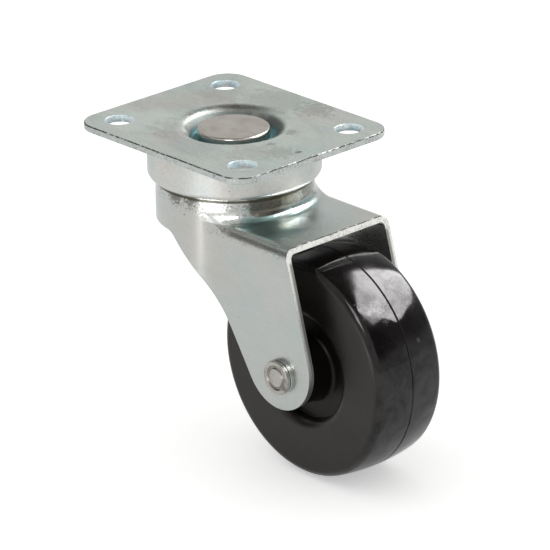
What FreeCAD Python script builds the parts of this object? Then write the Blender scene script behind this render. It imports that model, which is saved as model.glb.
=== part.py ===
"""Swivel plate caster: top plate, raceways, stamped fork, kingpin, axle and a solid wheel.

Lengths are in millimetres. The origin is the middle of the top plate's upper face, on the
kingpin's axis. +Z points up, +X points to the side that the wheel trails on, and the wheel's
axle runs along Y.
"""
import FreeCAD, Part
import math
import os

# Top plate
plate_length = 54.0
plate_width = 45.8
plate_thickness = 1.6
plate_corner_radius = 5.5
plate_edge_round = 0.3
screw_hole_radius = 3.0
screw_hole_inset_x = 6.9
screw_hole_inset_y = 7.3
screw_hole_edge_round = 0.35

# Dish pressed into the middle of the plate, which the kingpin's head sits in
dish_depth = 3.4
dish_bend_radius = 4.2
dish_floor_fillet = 1.0
dish_head_gap = 0.7

# Kingpin, a rivet whose lower end is peened over
kingpin_shank_radius = 4.0
kingpin_head_sink = 0.55
kingpin_head_round = 0.5
kingpin_peen_radius = 5.6
kingpin_peen_height = 2.0
kingpin_hole_clearance = 0.05

# Upper race cup, drawn sheet that is staked under the plate
cup_outer_radius = 19.2
cup_race_width = 5.62
cup_thickness = 1.4
cup_skirt_bottom = -10.8
cup_lip_flat = 0.2
cup_bend_inner_radius = 0.5
cup_dish_gap = 0.2

# Balls and the gaps that they run with
ball_radius = 2.0
ball_gap = 0.1
upper_ball_count = 12
lower_ball_count = 8
lower_ball_pitch_radius = 8.5
lower_cup_rim_rise = 0.5

# Fork, one stamped sheet: a drawn swivel bowl, a shelf and two legs
fork_thickness = 1.4
bowl_wall_gap = 0.3
bowl_shoulder_inner_radius = 0.6
track_groove_relief = 0.2
track_flat = 0.5
crown_step = 1.2
crown_step_inner_radius = 0.2
crown_hole_radius = 6.6
shelf_height = -16.3
shelf_flare_radius = 2.6
skirt_step = 0.06
shelf_front = 32.3
leg_inset = 2.25
fold_inner_radius = 1.2
leg_blend_radius = 14.0
skirt_bottom = -20.6
skirt_corner = -1.8
skirt_corner_fillet = 3.5
leg_knee_back = 16.9
leg_knee_rise = 8.9
leg_knee_radius = 30.0
leg_end_radius = 10.0
leg_end_back = 0.9
leg_end_rise = 2.1

# Axle, a rivet through both legs, and the sleeve that the wheel turns on
axle_offset = 30.3
axle_radius = 3.0
axle_hole_clearance = 0.05
axle_collar_radius = 3.95
axle_collar_height = 0.45
axle_neck_radius = 3.55
axle_neck_height = 0.2
axle_rim_radius = 3.85
axle_rim_height = 0.9
axle_rim_chamfer = 0.25
axle_face_disc_radius = 2.0
axle_face_ring_radius = 2.9
axle_face_ring_depth = 0.3
axle_head_radius = 4.6
axle_head_height = 1.7
bushing_outer_radius = 4.5
bushing_bore_clearance = 0.05

# Wheel, one solid moulding
wheel_radius = 25.4
wheel_width = 19.1
wheel_edge_round = 1.9
wheel_crown_radius = 53.0
wheel_seam_width = 0.5
wheel_seam_depth = 0.35
wheel_dish_radius = 14.3
wheel_dish_depth = 2.8
wheel_dish_wall = 0.4
wheel_dish_fillet = 1.0
wheel_hub_radius = 7.5
wheel_hub_round = 0.6
wheel_side_gap = 0.3
wheel_top_gap = 3.0
wheel_bore_clearance = 0.05

# Levels and radii that follow from the sizes above
plate_underside = -plate_thickness
screw_hole_spacing_x = plate_length - 2 * screw_hole_inset_x
screw_hole_spacing_y = plate_width - 2 * screw_hole_inset_y
dish_floor = -dish_depth
dish_underside = dish_floor - plate_thickness
dish_reach_z = dish_bend_radius - dish_depth + dish_floor_fillet
dish_run = math.sqrt((dish_bend_radius + dish_floor_fillet) ** 2 - dish_reach_z ** 2)
dish_mouth_radius = cup_outer_radius - cup_race_width
dish_flat_radius = dish_mouth_radius - dish_run
kingpin_head_radius = dish_flat_radius - dish_head_gap
cup_inner_radius = cup_outer_radius - cup_thickness
cup_underside = plate_underside - cup_thickness
cup_bend_radius = cup_bend_inner_radius + cup_thickness
cup_lip_round = cup_thickness - cup_lip_flat
bowl_radius = cup_inner_radius - bowl_wall_gap
bowl_shoulder_radius = bowl_shoulder_inner_radius + fork_thickness
upper_ball_height = cup_underside - ball_gap - ball_radius
track_height = upper_ball_height - ball_gap - ball_radius
track_radius = bowl_radius - bowl_shoulder_radius - track_flat
track_groove_radius = ball_radius + track_groove_relief
crown_top = track_height + crown_step
crown_underside = crown_top - fork_thickness
crown_step_radius = crown_step_inner_radius + fork_thickness
lower_ball_height = crown_underside - ball_gap / 2 - ball_radius
lower_cup_floor = lower_ball_height - ball_gap / 2 - ball_radius
lower_cup_underside = lower_cup_floor - cup_thickness
leg_outer = bowl_radius - leg_inset
leg_inner = leg_outer - fork_thickness
fold_radius = fold_inner_radius + fork_thickness
axle_height = shelf_height - fork_thickness - wheel_top_gap - wheel_radius
leg_knee_x = axle_offset - leg_knee_back
leg_knee_z = axle_height + leg_knee_rise
wheel_dish_round = wheel_dish_depth - wheel_dish_wall
hub_half_width = leg_inner - wheel_side_gap
# How far the fork's raw outline runs past the finished one before it is trimmed, how far a
# cutting tool runs past the face that it leaves by, and how close two places are the same
trim_margin = 30.0
cut_overrun = 1.0
same_place = 1e-5

Z_AXIS = FreeCAD.Vector(0, 0, 1)
Y_AXIS = FreeCAD.Vector(0, 1, 0)
X_AXIS = FreeCAD.Vector(1, 0, 0)
ORIGIN = FreeCAD.Vector(0, 0, 0)


def point(x, z):
    """A point in the XZ plane, where round parts keep their half sections."""
    return FreeCAD.Vector(x, 0, z)


def line(start, end):
    """A straight edge."""
    return Part.LineSegment(start, end).toShape()


def arc(start, middle, end):
    """A circular edge through three points."""
    return Part.Arc(start, middle, end).toShape()


def arc_about(centre, radius, start_angle, end_angle):
    """A circular edge in the XZ plane, from one angle to another in degrees."""
    places = []
    for share in (0.0, 0.5, 1.0):
        angle = math.radians(start_angle + share * (end_angle - start_angle))
        places.append(centre + point(radius * math.cos(angle), radius * math.sin(angle)))
    return arc(*places)


def polygon_edges(corners):
    """Straight edges from each corner to the next."""
    return [line(start, end) for start, end in zip(corners, corners[1:])]


def turned(edges):
    """A solid of revolution about Z from a closed half section in the XZ plane."""
    return Part.Face(Part.Wire(edges)).revolve(ORIGIN, Z_AXIS, 360)


def turned_on_axle(edges):
    """A solid of revolution about the wheel's axle.

    The half section is drawn in the XZ plane with the distance from the axle as x and the
    place along the axle as z, so z becomes the row's Y.
    """
    solid = turned(edges)
    solid.rotate(ORIGIN, X_AXIS, -90)
    solid.translate(point(axle_offset, axle_height))
    return solid


def cylinder(radius, bottom, top):
    """An upright cylinder on the kingpin's axis."""
    return Part.makeCylinder(radius, top - bottom, point(0, bottom), Z_AXIS)


def cross_bore(radius, x, z, reach):
    """A cylinder along Y that passes through everything within reach of the XZ plane."""
    return Part.makeCylinder(radius, 2 * reach, FreeCAD.Vector(x, -reach, z), Y_AXIS)


def edges_on(shape, test):
    """The edges of a shape whose two ends and middle all pass a test."""
    chosen = []
    for edge in shape.Edges:
        first, last = edge.ParameterRange
        places = [edge.valueAt(first + share * (last - first)) for share in (0.0, 0.5, 1.0)]
        if all(test(place) for place in places):
            chosen.append(edge)
    return chosen


def dish_angle():
    """The angle at which the dish's two bends meet, seen from the outer bend's centre."""
    return 180 - math.degrees(math.asin(dish_reach_z / (dish_bend_radius + dish_floor_fillet)))


def dish_section(offset):
    """The dish's curved half section, from its mouth to its floor, offset into the sheet."""
    outer_centre = point(dish_mouth_radius, -dish_bend_radius)
    inner_centre = point(dish_flat_radius, dish_floor + dish_floor_fillet)
    meet = dish_angle()
    return [
        arc_about(outer_centre, dish_bend_radius - offset, 90, meet),
        arc_about(inner_centre, dish_floor_fillet + offset, meet - 180, -90),
    ]


def make_top_plate():
    """Flat plate with round corners, four screw holes and the pressed dish."""
    blank = Part.makeBox(plate_length, plate_width, plate_thickness,
                         FreeCAD.Vector(-plate_length / 2, -plate_width / 2, plate_underside))
    upright = [edge for edge in blank.Edges if len(edge.Vertexes) == 2
               and abs(edge.Vertexes[0].Z - edge.Vertexes[1].Z) > plate_thickness / 2]
    blank = blank.makeFillet(plate_corner_radius, upright)
    rim = edges_on(blank, lambda place: min(abs(place.z), abs(place.z - plate_underside)) < same_place)
    blank = blank.makeFillet(plate_edge_round, rim)

    upper = dish_section(0)
    lower = dish_section(plate_thickness)
    half_section = upper + [
        line(point(dish_flat_radius, dish_floor), point(0, dish_floor)),
        line(point(0, dish_floor), point(0, dish_underside)),
        line(point(0, dish_underside), point(dish_flat_radius, dish_underside)),
    ] + lower + [
        line(point(dish_mouth_radius, plate_underside), point(dish_mouth_radius, 0)),
    ]
    dish = turned(Part.__sortEdges__(half_section))
    plate = blank.cut(cylinder(dish_mouth_radius, plate_underside, 0))
    plate = plate.fuse(dish).removeSplitter()

    plate = plate.cut(cylinder(kingpin_shank_radius + kingpin_hole_clearance,
                               dish_underside - cut_overrun, dish_floor + cut_overrun))
    for x in (-screw_hole_spacing_x / 2, screw_hole_spacing_x / 2):
        for y in (-screw_hole_spacing_y / 2, screw_hole_spacing_y / 2):
            place = FreeCAD.Vector(x, y, plate_underside - cut_overrun)
            depth = plate_thickness + 2 * cut_overrun
            plate = plate.cut(Part.makeCylinder(screw_hole_radius, depth, place, Z_AXIS))
    mouths = [edge for edge in plate.Edges if isinstance(edge.Curve, Part.Circle)
              and abs(edge.Curve.Radius - screw_hole_radius) < same_place
              and abs(edge.Curve.Center.z) < same_place]
    return plate.makeFillet(screw_hole_edge_round, mouths)


def make_kingpin():
    """The rivet that carries the swivel: flat head, shank and peened lower end."""
    head_top = -kingpin_head_sink
    shank_end = lower_cup_underside
    half_section = [
        line(point(0, shank_end - kingpin_peen_height), point(0, head_top)),
        line(point(0, head_top), point(kingpin_head_radius - kingpin_head_round, head_top)),
        arc_about(point(kingpin_head_radius - kingpin_head_round, head_top - kingpin_head_round),
                  kingpin_head_round, 90, 0),
        line(point(kingpin_head_radius, head_top - kingpin_head_round),
             point(kingpin_head_radius, dish_floor)),
        line(point(kingpin_head_radius, dish_floor), point(kingpin_shank_radius, dish_floor)),
        line(point(kingpin_shank_radius, dish_floor), point(kingpin_shank_radius, shank_end)),
        line(point(kingpin_shank_radius, shank_end), point(kingpin_peen_radius, shank_end)),
    ]
    dome_radius = (kingpin_peen_radius ** 2 + kingpin_peen_height ** 2) / (2 * kingpin_peen_height)
    dome_centre = point(0, shank_end - kingpin_peen_height + dome_radius)
    rim_angle = -math.degrees(math.acos(kingpin_peen_radius / dome_radius))
    half_section.append(arc_about(dome_centre, dome_radius, rim_angle, -90))
    return turned(Part.__sortEdges__(half_section))


def make_upper_race_cup():
    """Drawn cup under the plate: its top is the upper race and its skirt covers the bowl."""
    opening = dish_mouth_radius + cup_dish_gap
    bend_centre = point(cup_outer_radius - cup_bend_radius, plate_underside - cup_bend_radius)
    lip_centre = point(cup_outer_radius - cup_lip_round, cup_skirt_bottom + cup_lip_round)
    half_section = [
        line(point(opening, plate_underside), point(bend_centre.x, plate_underside)),
        arc_about(bend_centre, cup_bend_radius, 90, 0),
        line(point(cup_outer_radius, bend_centre.z), point(cup_outer_radius, lip_centre.z)),
        arc_about(lip_centre, cup_lip_round, 0, -90),
        line(point(lip_centre.x, cup_skirt_bottom), point(cup_inner_radius, cup_skirt_bottom)),
        line(point(cup_inner_radius, cup_skirt_bottom), point(cup_inner_radius, bend_centre.z)),
        arc_about(bend_centre, cup_bend_radius - cup_thickness, 0, 90),
        line(point(bend_centre.x, cup_underside), point(opening, cup_underside)),
        line(point(opening, cup_underside), point(opening, plate_underside)),
    ]
    return turned(half_section)


def make_lower_race_cup():
    """Small pressed cup on the kingpin that holds the lower balls up against the crown."""
    wall_inner = lower_ball_pitch_radius + ball_radius + 2 * ball_gap
    wall_outer = wall_inner + cup_thickness
    rim = lower_ball_height + lower_cup_rim_rise
    corner = cup_thickness
    half_section = [
        line(point(kingpin_shank_radius + kingpin_hole_clearance, lower_cup_underside),
             point(wall_outer - corner, lower_cup_underside)),
        arc_about(point(wall_outer - corner, lower_cup_underside + corner), corner, -90, 0),
        line(point(wall_outer, lower_cup_underside + corner), point(wall_outer, rim)),
        line(point(wall_outer, rim), point(wall_inner, rim)),
        line(point(wall_inner, rim), point(wall_inner, lower_cup_floor)),
        line(point(wall_inner, lower_cup_floor),
             point(kingpin_shank_radius + kingpin_hole_clearance, lower_cup_floor)),
        line(point(kingpin_shank_radius + kingpin_hole_clearance, lower_cup_floor),
             point(kingpin_shank_radius + kingpin_hole_clearance, lower_cup_underside)),
    ]
    return turned(half_section)


def make_ball(pitch_radius, height, index, count):
    """One ball of a ring."""
    angle = 2 * math.pi * (index + 0.5) / count
    centre = FreeCAD.Vector(pitch_radius * math.cos(angle), pitch_radius * math.sin(angle), height)
    return Part.makeSphere(ball_radius, centre)


def fork_plan(offset):
    """The fork's outline seen from above, a round back that blends into two straight sides."""
    back = bowl_radius + skirt_step - offset
    side = leg_outer - offset
    blend = leg_blend_radius + offset
    front = shelf_front + trim_margin + offset
    blend_x = math.sqrt((back + blend) ** 2 - (side + blend) ** 2)
    blend_y = side + blend
    meet = FreeCAD.Vector(blend_x, -blend_y, 0) * (back / (back + blend))
    centre = FreeCAD.Vector(blend_x, -blend_y, 0)
    towards = (meet - centre).normalize() + (FreeCAD.Vector(blend_x, -side, 0) - centre).normalize()
    middle = centre + towards.normalize() * blend

    def mirrored(place):
        return FreeCAD.Vector(place.x, -place.y, place.z)

    near_end = FreeCAD.Vector(blend_x, -side, 0)
    near_front = FreeCAD.Vector(front, -side, 0)
    return Part.Wire([
        arc(mirrored(meet), FreeCAD.Vector(-back, 0, 0), meet),
        arc(meet, middle, near_end),
        line(near_end, near_front),
        line(near_front, mirrored(near_front)),
        line(mirrored(near_front), mirrored(near_end)),
        arc(mirrored(near_end), mirrored(middle), mirrored(meet)),
    ])


def bowl_section(offset):
    """Half section of the bowl and shelf, from the crown out to the shelf's level.

    Offset 0 gives the outer skin and the sheet's thickness gives the inner skin.
    """
    groove_centre = point(track_radius, track_height + track_groove_radius)
    step_drop = groove_centre.z - (crown_top - crown_step_radius)
    step_run = math.sqrt((track_groove_radius + crown_step_radius) ** 2 - step_drop ** 2)
    crown_centre = point(track_radius - step_run, crown_top - crown_step_radius)
    meet = math.degrees(math.atan2(step_drop, step_run))
    shoulder_centre = point(bowl_radius - bowl_shoulder_radius, track_height - bowl_shoulder_radius)
    flare_centre = point(bowl_radius + shelf_flare_radius, shelf_height + shelf_flare_radius)
    wall = bowl_radius - offset
    return [
        line(point(0, crown_top - offset), point(crown_centre.x, crown_top - offset)),
        arc_about(crown_centre, crown_step_radius - offset, 90, meet),
        arc_about(groove_centre, track_groove_radius + offset, meet - 180, -90),
        line(point(track_radius, track_height - offset),
             point(shoulder_centre.x, track_height - offset)),
        arc_about(shoulder_centre, bowl_shoulder_radius - offset, 90, 0),
        line(point(wall, shoulder_centre.z), point(wall, flare_centre.z)),
        arc_about(flare_centre, shelf_flare_radius + offset, 180, 270),
    ]


def fork_block(offset):
    """Everything that lies under the fork's skin, before the sides are trimmed."""
    reach = shelf_front + 2 * trim_margin + offset
    floor = axle_height - trim_margin - offset
    flare_x = bowl_radius + shelf_flare_radius
    level = shelf_height - offset
    half_section = bowl_section(offset) + polygon_edges([
        point(flare_x, level), point(reach, level), point(reach, floor), point(0, floor),
        point(0, crown_top - offset),
    ])
    skin = turned(half_section)
    outline = Part.Face(fork_plan(offset))
    height = crown_top + cut_overrun - floor
    outline.translate(point(0, floor))
    return skin.common(outline.extrude(Z_AXIS * height))


def is_fold(place, offset):
    """Whether a place is on the fold between the shelf and a leg."""
    on_side = abs(abs(place.y) - (leg_outer - offset)) < same_place
    high = place.z > shelf_height - offset - same_place
    return on_side and high and place.z < crown_top


def make_fork_skin():
    """The bent and drawn sheet, still with its raw edges."""
    outer = fork_block(0)
    inner = fork_block(fork_thickness)
    outer = outer.makeFillet(fold_radius, edges_on(outer, lambda place: is_fold(place, 0)))
    inner = inner.makeFillet(fold_radius - fork_thickness,
                             edges_on(inner, lambda place: is_fold(place, fork_thickness)))
    return outer.cut(inner)


def side_tangent(corner, centre, radius, sign):
    """Where a line from a corner touches a circle, on the chosen side of it."""
    run = centre - corner
    distance = run.Length
    bearing = math.atan2(run.z, run.x) + sign * math.asin(radius / distance)
    reach = math.sqrt(distance ** 2 - radius ** 2)
    return corner + point(math.cos(bearing), math.sin(bearing)) * reach


def rounded_corner(before, corner, after, radius):
    """The arc that rounds a corner of an outline, with its two tangent points."""
    back = (before - corner).normalize()
    ahead = (after - corner).normalize()
    half = back.getAngle(ahead) / 2
    start = corner + back * (radius / math.tan(half))
    end = corner + ahead * (radius / math.tan(half))
    bisector = (back + ahead).normalize()
    middle = corner + bisector * (radius / math.sin(half) - radius)
    return start, arc(start, middle, end), end


def leg_profile():
    """The fork seen from the side: shelf, sloping front, round end, hollow rear and skirt."""
    end_centre = point(axle_offset - leg_end_back, axle_height + leg_end_rise)
    top_front = point(shelf_front, shelf_height)
    skirt_back = point(-bowl_radius - trim_margin, skirt_bottom)
    corner = point(skirt_corner, skirt_bottom)
    knee = point(leg_knee_x, leg_knee_z)
    front_touch = side_tangent(top_front, end_centre, leg_end_radius, 1)
    rear_touch = side_tangent(knee, end_centre, leg_end_radius, -1)
    end_bottom = end_centre - point(0, leg_end_radius)
    corner_start, corner_arc, corner_end = rounded_corner(skirt_back, corner, knee,
                                                          skirt_corner_fillet)
    knee_start, knee_arc, knee_end = rounded_corner(corner, knee, rear_touch, leg_knee_radius)
    top = crown_top + cut_overrun
    return Part.Wire([
        line(top_front, front_touch),
        arc(front_touch, end_bottom, rear_touch),
        line(rear_touch, knee_end),
        knee_arc,
        line(knee_start, corner_end),
        corner_arc,
        line(corner_start, skirt_back),
        line(skirt_back, point(skirt_back.x, top)),
        line(point(skirt_back.x, top), point(shelf_front, top)),
        line(point(shelf_front, top), top_front),
    ])


def make_fork():
    """The stamped fork: drawn bowl with its ball track, shelf and two trimmed legs."""
    reach = bowl_radius + trim_margin
    side = Part.Face(leg_profile())
    side.translate(FreeCAD.Vector(0, -reach, 0))
    fork = make_fork_skin().common(side.extrude(Y_AXIS * (2 * reach)))
    fork = fork.cut(cylinder(crown_hole_radius, crown_underside - cut_overrun,
                             crown_top + cut_overrun))
    return fork.cut(cross_bore(axle_radius + axle_hole_clearance, axle_offset, axle_height, reach))


def make_axle():
    """The rivet through both legs: formed end on the near side, low round head on the far side."""
    collar = -leg_outer - axle_collar_height
    neck = collar - axle_neck_height
    face = neck - axle_rim_height
    ring_middle = (axle_face_disc_radius + axle_face_ring_radius) / 2
    corners = [
        point(axle_face_ring_radius, face),
        point(axle_rim_radius - axle_rim_chamfer, face),
        point(axle_rim_radius, face + axle_rim_chamfer),
        point(axle_rim_radius, neck),
        point(axle_neck_radius, neck),
        point(axle_neck_radius, collar),
        point(axle_collar_radius, collar),
        point(axle_collar_radius, -leg_outer),
        point(axle_radius, -leg_outer),
        point(axle_radius, leg_outer),
        point(axle_head_radius, leg_outer),
    ]
    dome_radius = (axle_head_radius ** 2 + axle_head_height ** 2) / (2 * axle_head_height)
    dome_top = leg_outer + axle_head_height
    rim_angle = math.degrees(math.acos(axle_head_radius / dome_radius))
    half_section = polygon_edges(corners)
    half_section += [
        arc_about(point(0, dome_top - dome_radius), dome_radius, rim_angle, 90),
        line(point(0, dome_top), point(0, face)),
        line(point(0, face), point(axle_face_disc_radius, face)),
        arc(point(axle_face_disc_radius, face), point(ring_middle, face + axle_face_ring_depth),
            point(axle_face_ring_radius, face)),
    ]
    return turned_on_axle(Part.__sortEdges__(half_section))


def make_axle_bushing():
    """The steel sleeve that is clamped between the legs."""
    inner = axle_radius + bushing_bore_clearance
    corners = [
        point(inner, -leg_inner), point(bushing_outer_radius, -leg_inner),
        point(bushing_outer_radius, leg_inner), point(inner, leg_inner), point(inner, -leg_inner),
    ]
    return turned_on_axle(polygon_edges(corners))


def wheel_side(sign):
    """Half of the wheel's half section, from the seam to the bore on one side."""
    face = wheel_width / 2
    floor = face - wheel_dish_depth
    edge_place = face - wheel_edge_round
    crown_centre = wheel_radius - wheel_crown_radius
    edge = crown_centre + math.sqrt((wheel_crown_radius - wheel_edge_round) ** 2 - edge_place ** 2)
    crown_angle = math.degrees(math.atan2(edge_place, edge - crown_centre))
    seam_angle = math.degrees(math.asin(wheel_seam_width / 2 / wheel_crown_radius))
    seam_edge = crown_centre + wheel_crown_radius * math.cos(math.radians(seam_angle))
    bore = bushing_outer_radius + wheel_bore_clearance
    dish_wall = wheel_dish_radius - wheel_dish_round

    def at(radius, place):
        return point(radius, sign * place)

    def corner_arc(radius, place, size, start, end):
        return arc_about(at(radius, place), size, sign * start, sign * end)

    return [
        line(at(wheel_radius - wheel_seam_depth, 0), at(seam_edge, wheel_seam_width / 2)),
        corner_arc(crown_centre, 0, wheel_crown_radius, seam_angle, crown_angle),
        corner_arc(edge, edge_place, wheel_edge_round, crown_angle, 90),
        line(at(edge, face), at(wheel_dish_radius, face)),
        corner_arc(wheel_dish_radius, face - wheel_dish_round, wheel_dish_round, 90, 180),
        line(at(dish_wall, face - wheel_dish_round), at(dish_wall, floor)),
        line(at(dish_wall, floor), at(wheel_hub_radius + wheel_dish_fillet, floor)),
        corner_arc(wheel_hub_radius + wheel_dish_fillet, floor + wheel_dish_fillet,
                   wheel_dish_fillet, 270, 180),
        line(at(wheel_hub_radius, floor + wheel_dish_fillet),
             at(wheel_hub_radius, hub_half_width - wheel_hub_round)),
        corner_arc(wheel_hub_radius - wheel_hub_round, hub_half_width - wheel_hub_round,
                   wheel_hub_round, 0, 90),
        line(at(wheel_hub_radius - wheel_hub_round, hub_half_width), at(bore, hub_half_width)),
        line(at(bore, hub_half_width), at(bore, 0)),
    ]


def make_wheel():
    """The solid wheel: tread with a parting line, dished sides and a long hub."""
    return turned_on_axle(Part.__sortEdges__(wheel_side(1) + wheel_side(-1)))


def export(name, shape):
    """Write one piece to its own file."""
    shape.exportStep("parts/" + name + ".step")


def main():
    """Build every piece and write it out."""
    os.makedirs("parts", exist_ok=True)
    export("top_plate", make_top_plate())
    export("upper_race_cup", make_upper_race_cup())
    export("kingpin", make_kingpin())
    export("lower_race_cup", make_lower_race_cup())
    for index in range(upper_ball_count):
        ball = make_ball(track_radius, upper_ball_height, index, upper_ball_count)
        export("upper_ball_%02d" % (index + 1), ball)
    for index in range(lower_ball_count):
        ball = make_ball(lower_ball_pitch_radius, lower_ball_height, index, lower_ball_count)
        export("lower_ball_%02d" % (index + 1), ball)
    export("fork", make_fork())
    export("axle", make_axle())
    export("axle_bushing", make_axle_bushing())
    export("wheel", make_wheel())


main()
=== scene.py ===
"""Looks of the swivel plate caster: fine meshes, finishes, studio and camera.

Lengths are in millimetres, in the same frame as the construction: the origin is the middle of the
top plate's upper face, +Z points up and the wheel's axle runs along Y. Meshes are turned into
metres as they are made. The studio's floor and lamps are in metres, and noise scales in waves for
each metre.
"""

import logging
import math
from dataclasses import dataclass
from enum import Enum
from typing import Optional, Sequence, Union

import bmesh
import bpy
from mathutils import Matrix, Vector


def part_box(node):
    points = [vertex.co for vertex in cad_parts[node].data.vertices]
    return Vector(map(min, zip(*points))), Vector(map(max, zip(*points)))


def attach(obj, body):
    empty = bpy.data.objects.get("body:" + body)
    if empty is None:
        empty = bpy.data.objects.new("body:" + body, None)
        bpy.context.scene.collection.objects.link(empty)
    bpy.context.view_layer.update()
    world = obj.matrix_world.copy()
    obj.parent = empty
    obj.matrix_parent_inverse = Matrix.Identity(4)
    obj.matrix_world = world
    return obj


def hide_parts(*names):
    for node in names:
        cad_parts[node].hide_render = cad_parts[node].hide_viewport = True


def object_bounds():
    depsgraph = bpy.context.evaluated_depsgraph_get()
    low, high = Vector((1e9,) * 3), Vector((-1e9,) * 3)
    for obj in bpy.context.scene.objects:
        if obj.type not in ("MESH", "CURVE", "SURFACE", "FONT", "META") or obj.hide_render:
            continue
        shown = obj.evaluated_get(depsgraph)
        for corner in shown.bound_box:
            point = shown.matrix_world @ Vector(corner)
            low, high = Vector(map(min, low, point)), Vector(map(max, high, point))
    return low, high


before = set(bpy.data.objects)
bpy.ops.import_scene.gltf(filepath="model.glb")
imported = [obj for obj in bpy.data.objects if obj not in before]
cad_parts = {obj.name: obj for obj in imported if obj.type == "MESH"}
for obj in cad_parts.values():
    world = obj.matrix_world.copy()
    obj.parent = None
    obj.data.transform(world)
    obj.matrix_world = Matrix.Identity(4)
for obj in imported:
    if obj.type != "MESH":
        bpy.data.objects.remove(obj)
CAD_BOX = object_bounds()

LOG = logging.getLogger("caster")
MM = 0.001
WELD = 1e-4 * MM
NODE_WELD = 1e-3 * MM
PHOTO_PIXELS = 550
WHITE = (1.0, 1.0, 1.0, 1.0)
SOCKET_KINDS = {"Vector": "NodeSocketVector", "Centre": "NodeSocketVector", "Base": "NodeSocketColor",
                "Cool": "NodeSocketColor", "Warm": "NodeSocketColor", "Color": "NodeSocketColor"}

Socket = bpy.types.NodeSocket
Node = bpy.types.Node
Tree = bpy.types.NodeTree
Material = bpy.types.Material
Colour = tuple[float, float, float, float]
Feed = Union[Socket, float, Colour, Vector]


class Body(Enum):
    """The bodies that pieces ride on."""

    PLATE = "plate"
    FORK = "fork"
    WHEEL = "wheel"


class Slot(Enum):
    """The finishes that the record names."""

    PLATE = "zinc_plated_plate"
    SHEET = "zinc_plated_sheet"
    RIVET = "rivet_steel"
    RACE = "race_steel"
    BALL = "ball_steel"
    RUBBER = "black_hard_rubber"


class Turning(Enum):
    """The axes that round pieces are turned about, each as the directions across it."""

    KINGPIN = (1.0, 1.0, 0.0)
    AXLE = (1.0, 0.0, 1.0)


def rgb(red: int, green: int, blue: int) -> Colour:
    """The linear colour of a screen colour.

    Args:
        red: Red from 0 to 255.
        green: Green from 0 to 255.
        blue: Blue from 0 to 255.

    Returns:
        Linear red, green, blue and an alpha of one.
    """
    linear = []
    for level in (red, green, blue):
        share = level / 255
        linear.append(share / 12.92 if share <= 0.04045 else ((share + 0.055) / 1.055) ** 2.4)
    return (linear[0], linear[1], linear[2], 1.0)


def towards(azimuth: float, elevation: float) -> Vector:
    """The way that an azimuth and an elevation point.

    Args:
        azimuth: Degrees round +Z from +X.
        elevation: Degrees up from the level.

    Returns:
        A vector of length one.
    """
    turn, rise = math.radians(azimuth), math.radians(elevation)
    return Vector((math.cos(turn) * math.cos(rise), math.sin(turn) * math.cos(rise), math.sin(rise)))


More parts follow.
